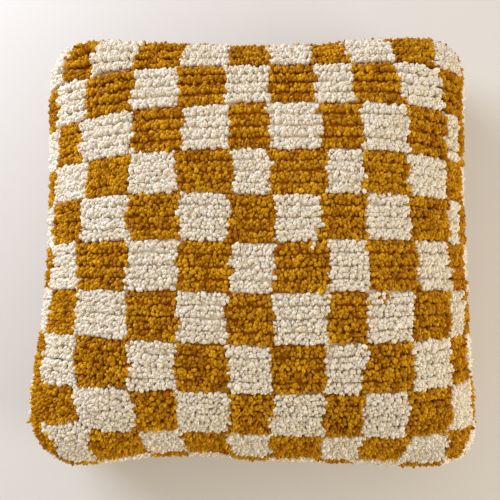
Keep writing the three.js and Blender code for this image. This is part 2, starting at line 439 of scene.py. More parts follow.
@dataclass(frozen=True)
class KnottedWool:
    """Thick hand-spun wool yarn, cut short: matt, with a soft edge glow, and no two ends dyed alike."""

    name: str
    dark: str                        # the duller of the dyed strands
    light: str                       # the brighter of the dyed strands
    root: str                        # colour painted down each end's root, where the gaps between ends lie: painted shade where it is deeper than the strands, painted light where it is lighter
    painted_groove_shade: str                      # painted shade in the grooves between the plies of a strand
    painted_root_end: float = 0.50           # share of an end's length over which the painted root tone fades
    plies: int = 3                   # threads twisted into a strand
    ply_turn: float = 16.0           # mm of strand for one turn of the twist
    ply_depth: float = 0.75          # mm
    ply_shade: float = 0.36          # how far the painted shade darkens the grooves between plies
    ply_rim: float = 0.8             # share of a ply's height from where it is free of that shade
    fibre: float = 1.1               # mm, drawn coarser than real wool fibres so that it shows
    fibre_length: float = 3.5        # how many times longer than wide a fibre shows
    fibre_depth: float = 0.45        # mm
    fibre_detail: float = 2.0        # finer fibres drawn within the fibres
    fibre_roughness: float = 0.6     # how strong those are
    fibre_bend: float = 0.6          # how far fibres stray from the yarn's run
    sheen: float = 0.2               # the glow of loose fibres, tinted with the dyed wool
    glow: float = 0.25               # light that passes through the yarn's edge
    glow_reach: float = 3.0          # mm
    glow_shares: tuple[float, float, float] = (1.0, 0.75, 0.5)   # of that reach for red, green and blue
    specular: float = 0.1            # wool scatters, and hardly mirrors
    sheen_roughness: float = 0.5
    roughness: float = 0.95

    def build(self) -> bpy.types.Material:
        """Makes the material.

        Returns:
            The wool, which reads the pile's strand and tip attributes.
        """
        material, tree, shader = start_finish(self.name, {
            "Roughness": self.roughness, "Specular IOR Level": self.specular,
            "Sheen Weight": self.sheen, "Sheen Roughness": self.sheen_roughness,
            "Sheen Tint": linear(self.light), "Subsurface Weight": self.glow,
            "Subsurface Scale": self.glow_reach * MM, "Subsurface Radius": self.glow_shares,
        })
        strand, tip, yarn = [
            add_node(tree, "ShaderNodeAttribute", {"attribute_name": name})
            for name in ("strand", "tip", "yarn")
        ]
        dyed = add_node(
            tree, "ShaderNodeMix",
            {"data_type": "RGBA", 6: linear(self.dark), 7: linear(self.light)},
            {0: strand.outputs["Fac"]},
        )
        # Painted tone of the gaps: towards its root each end blends into the root colour, standing in for the
        # shade and light down between the ends
        depth = add_node(
            tree, "ShaderNodeMapRange",
            {"interpolation_type": "SMOOTHSTEP", "From Max": self.painted_root_end},
            {"Value": tip.outputs["Fac"]},
        )
        painted_roots = add_node(
            tree, "ShaderNodeMix",
            {"data_type": "RGBA", 6: linear(self.root)},
            {0: depth.outputs["Result"], 7: dyed.outputs[2]},
        )
        plies = self._plies(tree, yarn)
        # Painted shade: the grooves between the plies are darkened towards the groove colour
        painted_groove_shade = add_node(
            tree, "ShaderNodeMapRange", {"From Max": self.ply_rim, "To Min": self.ply_shade, "To Max": 0.0},
            {"Value": plies.outputs[0]},
        )
        painted_grooves = add_node(
            tree, "ShaderNodeMix",
            {"data_type": "RGBA", 7: linear(self.painted_groove_shade)},
            {0: painted_groove_shade.outputs["Result"], 6: painted_roots.outputs[2]},
        )
        tree.links.new(painted_grooves.outputs[2], shader.inputs["Base Color"])
        twist = add_node(
            tree, "ShaderNodeBump",
            {"Strength": 1.0, "Distance": self.ply_depth * MM},
            {"Height": plies.outputs[0]},
        )
        drawn = add_node(
            tree, "ShaderNodeVectorMath",
            {"operation": "MULTIPLY", 1: (1.0, 1.0, 1.0 / self.fibre_length)},
            {0: yarn.outputs["Vector"]},
        )
        fibres = add_node(
            tree, "ShaderNodeTexNoise",
            {"Scale": 1.0 / self.fibre, "Detail": self.fibre_detail, "Roughness": self.fibre_roughness,
             "Distortion": self.fibre_bend},
            {"Vector": drawn.outputs[0]},
        )
        bump = add_node(
            tree, "ShaderNodeBump",
            {"Strength": 1.0, "Distance": self.fibre_depth * MM},
            {"Height": fibres.outputs[0], "Normal": twist.outputs["Normal"]},
        )
        tree.links.new(bump.outputs["Normal"], shader.inputs["Normal"])
        return material

    def _plies(self, tree: bpy.types.NodeTree, yarn: bpy.types.Node) -> bpy.types.Node:
        """Twists the plies of a strand.

        Args:
            tree: The material's node tree.
            yarn: Place within a strand in mm, its length last.

        Returns:
            The node whose output is 1 on top of a ply and 0 in the groove beside it.
        """
        place = add_node(tree, "ShaderNodeSeparateXYZ", None, {"Vector": yarn.outputs["Vector"]})
        angle = add_node(
            tree, "ShaderNodeMath", {"operation": "ARCTAN2"},
            {0: place.outputs["Y"], 1: place.outputs["X"]},
        )
        turned = add_node(
            tree, "ShaderNodeMath",
            {"operation": "MULTIPLY", 1: math.pi * self.plies / self.ply_turn},
            {0: place.outputs["Z"]},
        )
        phase = add_node(
            tree, "ShaderNodeMath", {"operation": "MULTIPLY_ADD", 1: self.plies / 2.0},
            {0: angle.outputs[0], 2: turned.outputs[0]},
        )
        wave = add_node(tree, "ShaderNodeMath", {"operation": "SINE"}, {0: phase.outputs[0]})
        return add_node(tree, "ShaderNodeMath", {"operation": "ABSOLUTE"}, {0: wave.outputs[0]})


@dataclass(frozen=True)
class FoundationWool:
    """The cover's woven ground between the knots, in the colours of the yarns around it, with painted shade
    and painted light for the gaps between the ends.
    """

    name: str = "wool_ground"
    # Painted tones of the gaps: the mustard is a deeper brown than its strands, painted shade; the cream is
    # lighter than its strands, painted light that lifts the shade there
    mustard: str = "#ae6604"
    cream: str = "#fbf2e4"
    weft: float = 3.0                # mm between the weft threads
    weft_depth: float = 0.8          # mm
    weft_detail: float = 2.0         # finer fibres drawn within the threads
    border: tuple[float, float] = (0.4, 0.6)   # shares of mustard knots between which the shade turns
    roughness: float = 1.0
    specular: float = 0.1

    def build(self) -> bpy.types.Material:
        """Makes the material.

        Returns:
            The ground, which reads the body's mustard attribute.
        """
        material, tree, shader = start_finish(
            self.name, {"Roughness": self.roughness, "Specular IOR Level": self.specular})
        dyed = add_node(tree, "ShaderNodeAttribute", {"attribute_name": "mustard"})
        border = add_node(
            tree, "ShaderNodeMapRange",
            {"interpolation_type": "SMOOTHSTEP", "From Min": self.border[0], "From Max": self.border[1]},
            {"Value": dyed.outputs["Fac"]},
        )
        place = add_node(tree, "ShaderNodeTexCoord")
        mixed = add_node(
            tree, "ShaderNodeMix",
            {"data_type": "RGBA", 6: linear(self.cream), 7: linear(self.mustard)},
            {0: border.outputs["Result"]},
        )
        tree.links.new(mixed.outputs[2], shader.inputs["Base Color"])
        threads = add_node(
            tree, "ShaderNodeTexNoise",
            {"Scale": 1.0 / (self.weft * MM), "Detail": self.weft_detail},
            {"Vector": place.outputs["Object"]},
        )
        bump = add_node(
            tree, "ShaderNodeBump", {"Distance": self.weft_depth * MM}, {"Height": threads.outputs[0]},
        )
        tree.links.new(bump.outputs["Normal"], shader.inputs["Normal"])
        return material


@dataclass(frozen=True)
class PlainCotton:
    """Unbleached plain-weave cotton: matt, pale, with its threads crossing in a fine grid."""

    name: str = "unbleached_cotton"
    thread: str = "#d9cfb8"
    # darker where the threads part: painted shade in the hollows of the weave
    gap: str = "#b7aa8d"
    pitch: float = 1.6               # mm, drawn coarser than the real 0.7 mm so that it shows
    depth: float = 0.2               # mm
    roughness: float = 0.92

    def build(self) -> bpy.types.Material:
        """Makes the material.

        Returns:
            The cotton, woven square to the floor's axes.
        """
        material, tree, shader = start_finish(self.name, {"Roughness": self.roughness})
        place = add_node(tree, "ShaderNodeTexCoord")
        turns = math.tau / (self.pitch * MM)
        apart = add_node(tree, "ShaderNodeSeparateXYZ", None, {0: place.outputs["Object"]})
        waves = []
        for axis in ("X", "Y"):
            scaled = add_node(
                tree, "ShaderNodeMath", {"operation": "MULTIPLY", 1: turns}, {0: apart.outputs[axis]},
            )
            waves.append(add_node(tree, "ShaderNodeMath", {"operation": "SINE"}, {0: scaled.outputs[0]}))
        crossing = add_node(
            tree, "ShaderNodeMath", {"operation": "MULTIPLY"},
            {0: waves[0].outputs[0], 1: waves[1].outputs[0]},
        )
        level = add_node(
            tree, "ShaderNodeMapRange", {"From Min": -1.0}, {"Value": crossing.outputs[0]},
        )
        # Painted shade: between the threads the colour turns to the darker gap colour
        mixed = add_node(
            tree, "ShaderNodeMix",
            {"data_type": "RGBA", 6: linear(self.gap), 7: linear(self.thread)},
            {0: level.outputs["Result"]},
        )
        tree.links.new(mixed.outputs[2], shader.inputs["Base Color"])
        bump = add_node(
            tree, "ShaderNodeBump", {"Distance": self.depth * MM}, {"Height": level.outputs["Result"]},
        )
        tree.links.new(bump.outputs["Normal"], shader.inputs["Normal"])
        return material


def deselect() -> None:
    """Leaves nothing selected, so that an operator acts on new work alone."""
    bpy.ops.object.select_all(action="DESELECT")


def make_active(piece: bpy.types.Object) -> None:
    """Selects one piece alone.

    Args:
        piece: What the next operators act on.
    """
    deselect()
    piece.select_set(True)
    bpy.context.view_layer.objects.active = piece


def coordinates(mesh: bpy.types.Mesh) -> np.ndarray:
    """Vertex positions of a mesh.

    Args:
        mesh: The mesh.

    Returns:
        Rows of x, y, z.
    """
    flat = np.zeros(len(mesh.vertices) * 3)
    mesh.vertices.foreach_get("co", flat)
    return flat.reshape(-1, 3)


@dataclass
class StuffedBody:
    """The stuffed cover under its pile: simulated cloth that swells inside the cover's solid."""

    form: CoverForm
    pile: float = 4.1                # mm of pile that stands on it
    swelling: float = 4.0            # mm that the stuffing may push it out
    weld: float = 0.01               # mm within which the solid's points are one
    voxel: float = 12.0              # mm
    smoothing: int = 6               # passes of smoothing
    smoothing_share: float = 0.5     # how far a pass moves a point to the middle of its neighbours
    pressure: float = 4.0            # of the stuffing on the cloth
    frames: int = 20                 # of the simulation
    base_clearance: float = 3.2      # mm above the floor, on the base cloth

    def build(self, material: bpy.types.Material) -> bpy.types.Object:
        """Makes the body.

        Args:
            material: The ground's finish.

        Returns:
            The finished piece.
        """
        deselect()
        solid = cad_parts["pile_cover"]
        body = bpy.data.objects.new("stuffed_body", solid.data.copy())
        bpy.context.scene.collection.objects.link(body)
        make_active(body)
        bpy.ops.object.mode_set(mode="EDIT")
        bpy.ops.mesh.select_all(action="SELECT")
        bpy.ops.mesh.remove_doubles(threshold=self.weld * MM)
        inset = self.pile + self.swelling
        sizes = np.array([self.form.width, self.form.depth, self.form.height - self.form.underside])
        less = (sizes - np.array([2.0 * inset, 2.0 * inset, inset])) / sizes
        bpy.ops.transform.resize(value=tuple(less), center_override=(0.0, 0.0, self.form.underside * MM))
        bpy.ops.object.mode_set(mode="OBJECT")
        self._add_modifier(body, "REMESH", {"mode": "VOXEL", "voxel_size": self.voxel * MM})
        self._add_modifier(body, "SMOOTH", {"factor": self.smoothing_share, "iterations": self.smoothing})
        self._inflate(body)
        self._add_modifier(body, "SUBSURF", {"levels": 1, "render_levels": 1})
        points = coordinates(body.data)
        points[:, 2] = np.maximum(points[:, 2], self.base_clearance * MM)
        body.data.vertices.foreach_set("co", points.ravel())
        body.data.materials.clear()
        body.data.materials.append(material)
        body.data.shade_smooth()
        body.data.update()
        return body

    def _add_modifier(self, body: bpy.types.Object, kind: str, settings: dict) -> None:
        """Adds a modifier and applies it.

        Args:
            body: The piece.
            kind: The modifier's type.
            settings: Its attributes by name.
        """
        modifier = body.modifiers.new(kind.lower(), kind)
        for key, value in settings.items():
            setattr(modifier, key, value)
        make_active(body)
        bpy.ops.object.modifier_apply(modifier=modifier.name)

    def _inflate(self, body: bpy.types.Object) -> None:
        """Runs the cloth simulation and keeps each point within the swelling.

        Args:
            body: The piece.
        """
        start = coordinates(body.data)
        modifier = body.modifiers.new("stuffing", "CLOTH")
        modifier.settings.use_pressure = True
        modifier.settings.uniform_pressure_force = self.pressure
        modifier.settings.effector_weights.gravity = 0.0
        modifier.point_cache.frame_start = 1
        modifier.point_cache.frame_end = self.frames
        for number in range(1, self.frames + 1):
            bpy.context.scene.frame_set(number)
        make_active(body)
        bpy.ops.object.modifier_apply(modifier=modifier.name)
        bpy.context.scene.frame_set(1)
        moved = coordinates(body.data) - start
        far = np.linalg.norm(moved, axis=1, keepdims=True)
        kept = np.minimum(far, self.swelling * MM) / np.maximum(far, TINY)
        body.data.vertices.foreach_set("co", (start + moved * kept).ravel())
        body.data.update()


@dataclass(frozen=True)
class YarnStrand:
    """One strand of a cut yarn end, modelled once: it springs from the knot and swells to a blunt tip."""

    rings: tuple[tuple[float, float], ...] = ((0.30, 0.80), (0.66, 1.0), (0.91, 0.72))
    sides: int = 5
    touch: float = 1e-4              # how near to a ring its own points lie

    def build(self) -> tuple[np.ndarray, list[tuple[int, ...]]]:
        """Models the strand as by hand and reads its points and faces.

        Returns:
            Points with a half width of one and a height of one, and the faces as rows of point numbers.
        """
        deselect()
        height, width = self.rings[0]
        bpy.ops.mesh.primitive_cone_add(
            vertices=self.sides, radius1=0.0, radius2=width, depth=height,
            location=(0.0, 0.0, height / 2.0), end_fill_type="NGON")
        piece = bpy.context.active_object
        bpy.ops.object.transform_apply(location=True)
        bpy.ops.object.mode_set(mode="EDIT")
        bpy.ops.mesh.select_mode(type="VERT")
        bpy.ops.mesh.select_all(action="DESELECT")
        bpy.ops.object.mode_set(mode="OBJECT")
        for vertex in piece.data.vertices:
            vertex.select = abs(vertex.co.z - height) < self.touch
        bpy.ops.object.mode_set(mode="EDIT")
        for next_height, next_width in self.rings[1:]:
            bpy.ops.mesh.extrude_region_move(
                TRANSFORM_OT_translate={"value": (0.0, 0.0, next_height - height)})
            grow = next_width / width
            bpy.ops.transform.resize(value=(grow, grow, 1.0), center_override=(0.0, 0.0, next_height))
            height, width = next_height, next_width
        bpy.ops.mesh.extrude_region_move(TRANSFORM_OT_translate={"value": (0.0, 0.0, 1.0 - height)})
        bpy.ops.mesh.merge(type="CENTER")
        bpy.ops.mesh.select_all(action="SELECT")
        bpy.ops.mesh.normals_make_consistent(inside=False)
        bpy.ops.object.mode_set(mode="OBJECT")
        points = coordinates(piece.data)
        # Sorted, because the order in which the operators leave the faces changes from run to run
        faces = sorted(tuple(face.vertices) for face in piece.data.polygons)
        bpy.data.objects.remove(piece)
        return points, faces


@dataclass
class Knots:
    """Yarn ends as they are knotted, one after another in each array."""

    s: np.ndarray                    # mm of cloth towards +X
    t: np.ndarray                    # and towards +Y
    mustard: np.ndarray              # whether the end is mustard

    @staticmethod
    def joined(parts: list["Knots"]) -> "Knots":
        """Joins several lots of knots.

        Args:
            parts: The lots.

        Returns:
            All of them in one.
        """
        return Knots(*[
            np.concatenate([getattr(part, name) for part in parts]) for name in ("s", "t", "mustard")
        ])

    def where(self, chosen: np.ndarray) -> "Knots":
        """The knots that a mask chooses.

        Args:
            chosen: True for each knot that is kept.

        Returns:
            Those knots.
        """
        return Knots(self.s[chosen], self.t[chosen], self.mustard[chosen])


@dataclass
class Stances:
    """How the yarn ends of one piece stand, one row each, in mm."""

    root: np.ndarray
    out: np.ndarray                  # direction out of the cover
    rise: np.ndarray                 # height of the tip
    over: np.ndarray                 # how far and which way the tip leans over
    strand: np.ndarray               # shade of the dyed wool, 0 dull to 1 bright
    width: np.ndarray                # how wide the end is, 1 as spun

    @staticmethod
    def joined(parts: list["Stances"]) -> "Stances":
        """Joins several lots.

        Args:
            parts: The lots.

        Returns:
            All of them in one.
        """
        return Stances(*[
            np.concatenate([getattr(part, name) for part in parts])
            for name in ("root", "out", "rise", "over", "strand", "width")
        ])


@dataclass
class KnottedPile:
    """The pile: yarn ends knotted row by row, two staggered lines of ends to a knot row.

    At the back the rows stand apart as ribs that are combed to the front; at the front the ends stand up
    and the rows run into each other.
    """

    form: CoverForm
    pattern: CheckPattern
    body: bpy.types.Object
    pitch: float = 5.0               # mm between the knots of a line on the top, at the back
    pitch_front: float = 4.5         # and at the front
    pitch_spread: float = 0.14       # how unevenly they are spaced, as a share of the pitch
    side_pitch: float = 6.3          # mm between them down the sides
    line_back: float = 2.3           # mm from a knot row's middle to each line of ends, at the back
    line_front: float = 3.75         # and at the front, where the lines are even
    line_spread: float = 0.35        # mm that ends stray from their line
    edge_margin: float = 0.5         # mm that the outermost ends keep from the edge of the cloth
    rib_start: float = 120.0         # mm towards +Y from where the rows are clear ribs
    rib_end: float = -220.0          # and where they have run into each other
    last_order: float = 0.28         # how clear the rows still are there
    strands: int = 2                 # strands of a yarn end
    strand_place: float = 1.9        # mm from the middle of an end to each strand
    spun: dict[Yarn, Spun] = field(
        default_factory=lambda: {Yarn.MUSTARD: Spun(7.2, 1.2), Yarn.CREAM: Spun(8.6, 0.7)})
    side_rings: tuple[tuple[float, float], ...] = ((0.34, 0.92), (0.86, 0.84))   # plainer, down the sides
    width_spread: float = 0.14       # how unlike the widths are, as a share
    thickness: tuple[float, float] = (0.66, 0.90)   # least and most of a strand, as shares of its width
    middle_shade: float = 0.5        # of the dyed wool, 0 dull to 1 bright
    end_shade: float = 0.24          # how unlike the shades of two ends are
    clump_shade: float = 0.45        # how far a whole clump is duller or brighter
    strand_shade: float = 0.1        # how unlike the shades of an end's strands are
    shortest: float = 3.6            # mm from the ground to a tip
    longest: float = 16.0
    search: float = 60.0             # mm over which the ground is looked for
    search_outside: float = 3.0      # and one part in this many of it lies outside the cover
    reach: float = 8.0               # mm along an end that the leans are a share of
    comb: float = 0.70               # lean of all ends towards the front, where the rows are ribs
    comb_front: float = 0.40         # where they have run into each other
    comb_edge: float = 0.05         # and over the front edge, where the ends stand up
    edge: float = -350.0             # mm towards +Y to the front edge
    hang_back: float = 0.35          # how far the ends hang down the back side
    hang_aside: float = 0.3          # and down the left and right sides
    set_back: float = 0.34           # share of its lean that an end is set back by
    slimness: float = 0.10           # share by which the ends at the front are slimmer
    sway: float = 0.10               # lean of single ends, any way
    clump_sway: float = 0.11         # lean that an end shares with its clump
    fray: float = 0.07               # lean of a strand away from its end's other strands
    farthest: float = 6.0            # how many times that the worst strands lean
    tameness: int = 3                # how rarely strands lean that far
    valley_drop: float = 1.7         # mm that the ends stand lower where the rows are clear ribs
    unevenness: float = 0.7          # mm that tips stand high or low
    strand_unevenness: float = 0.5   # share of it by which an end's strands differ
    slant: float = 0.3               # how obliquely an end is cut
    turn: float = 0.5                # radians that strands are turned about themselves
    bend: float = 1.35               # how a strand bends over, 1 is straight
    bend_start: float = 0.05         # share of its length before which it is taken as straight
    sunk: float = 0.6                # mm that it starts inside the ground
    floor_gap: float = 0.6           # mm over the floor that the lowest strands keep
    yarn_run: float = 200.0          # mm of spun yarn from which the strands were cut
    clump: float = 16.0              # mm across a clump of ends that lean together
    lumpiness: float = 0.12          # how far a strand's points stray, as a share of its width
    strays: tuple[tuple[float, float], ...] = (
        (151.0, -68.0), (157.0, -68.0), (153.0, -75.0), (67.0, -4.0), (-163.0, 178.0),
    )                                # mm to the right and back of ends knotted in the other yarn by mistake
    seed: int = 5

    def knots(self) -> Knots:
        """Sets out every knot of the cover.

        Returns:
            The yarn ends of all panels.
        """
        chance = np.random.default_rng(self.seed)
        rows = []
        edge = self.form.panel_reach
        number = 0
        for check_row, height in enumerate(self.pattern.row_heights):
            knot = height / self.pattern.knot_rows
            for _ in range(self.pattern.knot_rows):
                rows.append(self._across(chance, edge - knot / 2.0, check_row, number, self.form.cloth_reach))
                edge -= knot
                number += 1
        knot = self.form.wall / self.pattern.side_knot_rows
        for side, first in ((1.0, -1), (-1.0, len(self.pattern.row_heights))):
            for k in range(self.pattern.side_knot_rows):
                step = k // self.pattern.knot_rows
                check_row = first - step if side > 0 else first + step
                t = side * (self.form.panel_reach + (k + 0.5) * knot)
                rows.append(self._across(chance, t, check_row, number, self.form.panel_reach))
                number += 1
        knots = Knots.joined(rows)
        along = self.pattern.slipped(knots.s, knots.t)
        nearest = {int(np.argmin(np.hypot(knots.s - s, along - t))) for s, t in self.strays}
        for stray in sorted(nearest):
            knots.mustard[stray] = not knots.mustard[stray]
        return knots

    def _order(self, t: np.ndarray | float) -> np.ndarray:
        """How clear the knot rows are at lengths t towards +Y in mm: 1 as ribs, 0 run together."""
        return np.interp(t, (self.rib_end, self.rib_start), (self.last_order, 1.0))

    def _comb(self, t: np.ndarray | float) -> np.ndarray:
        """The lean towards the front at lengths t towards +Y in mm."""
        places = (self.edge, self.rib_end, self.rib_start)
        return np.interp(t, places, (self.comb_edge, self.comb_front, self.comb))

    def _across(self, chance: np.random.Generator, t: float, check_row: int, number: int,
                reach: float) -> Knots:
        """Sets out one knot row.

        Args:
            chance: The pile's random numbers.
            t: The row's length towards +Y, in mm.
            check_row: The row of checks that it belongs to.
            number: The knot row's own number.
            reach: How far it runs to each side, in mm.

        Returns:
            The row's yarn ends.
        """
        lines = []
        order = self._order(t)
        pitch = self.pitch_front + (self.pitch - self.pitch_front) * order
        panel = self.form.panel_reach
        top = np.arange(-panel, panel, self.side_pitch if abs(t) > panel else pitch)
        side = np.arange(panel, reach, self.side_pitch)
        places = np.concatenate([-side[::-1], top, side])
        lean = self._comb(t) * self.reach
        gap = self.line_front + (self.line_back - self.line_front) * order
        for side_of_row in (1.0, -1.0):
            offset = side_of_row * gap + self.set_back * lean
            s = places + chance.uniform(0.0, pitch)
            s = s + chance.normal(0.0, self.pitch_spread * pitch, len(s))
            s = np.clip(s, self.edge_margin - reach, reach - self.edge_margin)
            along = t + offset + chance.normal(0.0, self.line_spread, len(s))
            lines.append(Knots(s, along, self.pattern.is_mustard(s, check_row, number)))
        return Knots.joined(lines)

    def build(self, finishes: dict[Yarn, bpy.types.Material]) -> list[bpy.types.Object]:
        """Makes the pile's pieces.

        Args:
            finishes: The wool of each yarn.

        Returns:
            One piece for each panel and yarn.
        """
        top = YarnStrand().build()
        side = YarnStrand(rings=self.side_rings).build()
        knots = self.knots()
        panels = self._panels(knots)
        ground = BVHTree.FromObject(self.body, bpy.context.evaluated_depsgraph_get())
        pieces = []
        for panel in Panel:
            for yarn in Yarn:
                chosen = (panels == list(Panel).index(panel)) & (knots.mustard == (yarn is Yarn.MUSTARD))
                name = f"pile_{panel.value}_{yarn.value}"
                template = top if panel in (Panel.TOP_BACK, Panel.TOP_FRONT) else side
                piece = self._piece(name, knots.where(chosen), self.spun[yarn], template, ground)
                piece.data.materials.append(finishes[yarn])
                pieces.append(piece)
        self._shade_ground(knots)
        return pieces

    def _panels(self, knots: Knots) -> np.ndarray:
        """Which panel each knot belongs to.

        Args:
            knots: The knots.

        Returns:
            The panel's number in the order of Panel.
        """
        order = list(Panel)
        reach = self.form.panel_reach
        panels = np.where(knots.t >= 0.0, order.index(Panel.TOP_BACK), order.index(Panel.TOP_FRONT))
        panels = np.where(knots.s > reach, order.index(Panel.RIGHT), panels)
        panels = np.where(knots.s < -reach, order.index(Panel.LEFT), panels)
        panels = np.where(knots.t > reach, order.index(Panel.BACK), panels)
        return np.where(knots.t < -reach, order.index(Panel.FRONT), panels)

    def _roots(self, outer: np.ndarray, normal: np.ndarray, ground: BVHTree) -> np.ndarray:
        """Where the knots sit on the body.

        Args:
            outer: Points on the cover's outer form, in mm.
            normal: Directions out of it.
            ground: The body's surface.

        Returns:
            Points on the body, in mm.
        """
        roots = np.empty_like(outer)
        for i, (point, away) in enumerate(zip(outer, normal)):
            start = Vector((point + away * self.search / self.search_outside) * MM)
            hit = ground.ray_cast(start, Vector(-away), self.search * MM)[0]
            roots[i] = np.array(hit or ground.find_nearest(start)[0]) / MM
        return roots

    def _stances(self, knots: Knots, spring: float, ground: BVHTree,
                 chance: np.random.Generator) -> Stances:
        """Stands the yarn ends up on the body.

        Args:
            knots: Their knots.
            spring: How unruly they stand.
            ground: The body's surface.
            chance: The piece's random numbers.

        Returns:
            How each end stands.
        """
        count = len(knots.s)
        along = self.pattern.slipped(knots.s, knots.t)
        outer = self.form.place(knots.s, along)
        out, right, back = self.form.axes(knots.s, along)
        roots = self._roots(outer, out, ground)
        panel = self.form.panel_reach
        order = self._order(knots.t)
        hang = np.where(np.abs(knots.s) > panel, self.hang_aside, 0.0)
        hang = np.where(knots.t > panel, self.hang_back, hang)
        down = np.tile(np.array([0.0, 0.0, -1.0]), (count, 1))
        down = down - out * np.sum(down * out, axis=1, keepdims=True)
        sideways, forwards, tall, bright = [clumps(roots, self.clump, number) for number in range(4)]
        aside = chance.normal(0.0, self.sway * spring, count) + sideways * self.clump_sway
        ahead = self._comb(knots.t) + chance.normal(0.0, self.sway * spring, count)
        ahead = ahead + forwards * self.clump_sway
        lean = right * aside[:, None] - back * ahead[:, None] + down * hang[:, None]
        rise = np.clip(np.sum((outer - roots) * out, axis=1), self.shortest, self.longest)
        rise = rise - self.valley_drop * order
        rise = rise + self.unevenness * spring * (chance.normal(0.0, 1.0, count) + tall)
        strand = self.middle_shade + chance.normal(0.0, self.end_shade, count) + self.clump_shade * bright
        width = 1.0 - self.slimness * (1.0 - order)
        whole = Stances(roots, out, rise, lean * self.reach, strand, width)
        start = chance.uniform(0.0, math.tau, count)[:, None]
        turns = [start + math.tau * number / self.strands for number in range(self.strands)]
        places = [(right * np.cos(turn) + back * np.sin(turn)) * self.strand_place for turn in turns]
        return Stances.joined([self._strand(whole, place, chance) for place in places])

    def _strays(self, chance: np.random.Generator, shape: tuple[int, ...]) -> np.ndarray:
        """Random numbers about 0, a few of them large, for strands that stray from the rest."""
        return np.clip(chance.standard_t(self.tameness, shape), -self.farthest, self.farthest)

    def _strand(self, whole: Stances, beside: np.ndarray, chance: np.random.Generator) -> Stances:
        """Parts one strand from its yarn end.

        Args:
            whole: How the yarn ends stand.
            beside: Steps from each end's middle to the strand, in mm.
            chance: The piece's random numbers.

        Returns:
            How the strand of each end stands.
        """
        count = len(whole.rise)
        away = self.fray * self.reach
        return Stances(
            whole.root + beside,
            whole.out,
            whole.rise + self.unevenness * chance.normal(0.0, self.strand_unevenness, count),
            whole.over + unit(beside) * away + self._strays(chance, (count, 3)) * away,
            np.clip(whole.strand + chance.normal(0.0, self.strand_shade, count), 0.0, 1.0),
            whole.width,
        )

    def _piece(self, name: str, knots: Knots, spun: Spun,
               template: tuple[np.ndarray, list[tuple[int, ...]]], ground: BVHTree) -> bpy.types.Object:
        """Makes the yarn ends of one panel in one yarn.

        Args:
            name: The piece's name.
            knots: Its knots.
            spun: How its wool was spun.
            template: The yarn end's points and faces.
            ground: The body's surface.

        Returns:
            The piece, as one joined mesh.
        """
        chance = np.random.default_rng(self.seed + sum(map(ord, name)))
        stands = self._stances(knots, spun.spring, ground, chance)
        shape, faces = template
        count, corners = len(stands.rise), len(shape)
        u = shape[:, 2]
        turn = chance.normal(0.0, self.turn, count)[:, None]
        cos, sin = np.cos(turn), np.sin(turn)
        stray = chance.normal(1.0, self.lumpiness, (2, count, corners))
        wide = shape[None, :, 0] * stray[0]
        thick = shape[None, :, 1] * stray[1] * chance.uniform(*self.thickness, count)[:, None]
        half = spun.width / 2.0 * stands.width * (1.0 + chance.normal(0.0, self.width_spread, count))
        half = half[:, None]
        x = (wide * cos - thick * sin) * half
        y = (wide * sin + thick * cos) * half
        cut = chance.normal(0.0, self.slant, (2, count))[:, :, None]
        height = stands.rise[:, None] * u[None, :] - self.sunk + (cut[0] * x + cut[1] * y) * u[None, :]**2
        out = stands.out[:, None, :]
        over = stands.over[:, None, :]
        swing = self.bend * np.maximum(u, self.bend_start)**(self.bend - 1.0)
        slope = out * stands.rise[:, None, None] + over * swing[None, :, None]
        slope = slope / np.linalg.norm(slope, axis=2, keepdims=True)
        across = unit(np.cross(stands.over, stands.out))
        first = np.cross(slope, across[:, None, :])
        first = first / np.linalg.norm(first, axis=2, keepdims=True)
        second = np.cross(first, slope)
        points = (stands.root[:, None, :] + out * height[:, :, None]
                  + over * (u**self.bend)[None, :, None]
                  + first * x[:, :, None] + second * y[:, :, None])
        points[:, :, 2] = np.maximum(points[:, :, 2], self.floor_gap)
        inside = np.stack([x, y, np.broadcast_to(u * self.reach, (count, corners))], axis=2)
        inside = inside + chance.uniform(0.0, 1.0, (count, 1, 1)) * (0.0, 0.0, self.yarn_run)
        labels = {
            "strand": np.repeat(stands.strand, corners),
            "tip": np.tile(u, count),
            "yarn": inside.reshape(-1, 3),
        }
        return self._mesh(name, points * MM, faces, labels)

    def _mesh(self, name: str, points: np.ndarray, faces: list[tuple[int, ...]],
              labels: dict[str, np.ndarray]) -> bpy.types.Object:
        """Joins copies of the yarn end into one mesh.

        Args:
            name: The piece's name.
            points: For each copy, its points in metres.
            faces: The yarn end's faces.
            labels: The values of each attribute, point by point.

        Returns:
            The piece.
        """
        count, corners = points.shape[0], points.shape[1]
        sizes = np.array([len(face) for face in faces])
        loops = np.concatenate([np.array(face) for face in faces])
        starts = np.concatenate([[0], np.cumsum(sizes)[:-1]])
        all_loops = (loops[None, :] + np.arange(count)[:, None] * corners).ravel()
        all_starts = (starts[None, :] + np.arange(count)[:, None] * len(loops)).ravel()
        mesh = bpy.data.meshes.new(name)
        mesh.vertices.add(count * corners)
        mesh.vertices.foreach_set("co", points.astype(np.float32).ravel())
        mesh.loops.add(len(all_loops))
        mesh.loops.foreach_set("vertex_index", all_loops.astype(np.int32))
        mesh.polygons.add(len(all_starts))
        mesh.polygons.foreach_set("loop_start", all_starts.astype(np.int32))
        mesh.update(calc_edges=True)
        mesh.shade_smooth()
        for label, values in labels.items():
            kind, slot = ("FLOAT", "value") if values.ndim == 1 else ("FLOAT_VECTOR", "vector")
            attribute = mesh.attributes.new(label, kind, "POINT")
            attribute.data.foreach_set(slot, values.astype(np.float32).ravel())
        mesh.validate()
        piece = bpy.data.objects.new(name, mesh)
        bpy.context.scene.collection.objects.link(piece)
        return piece

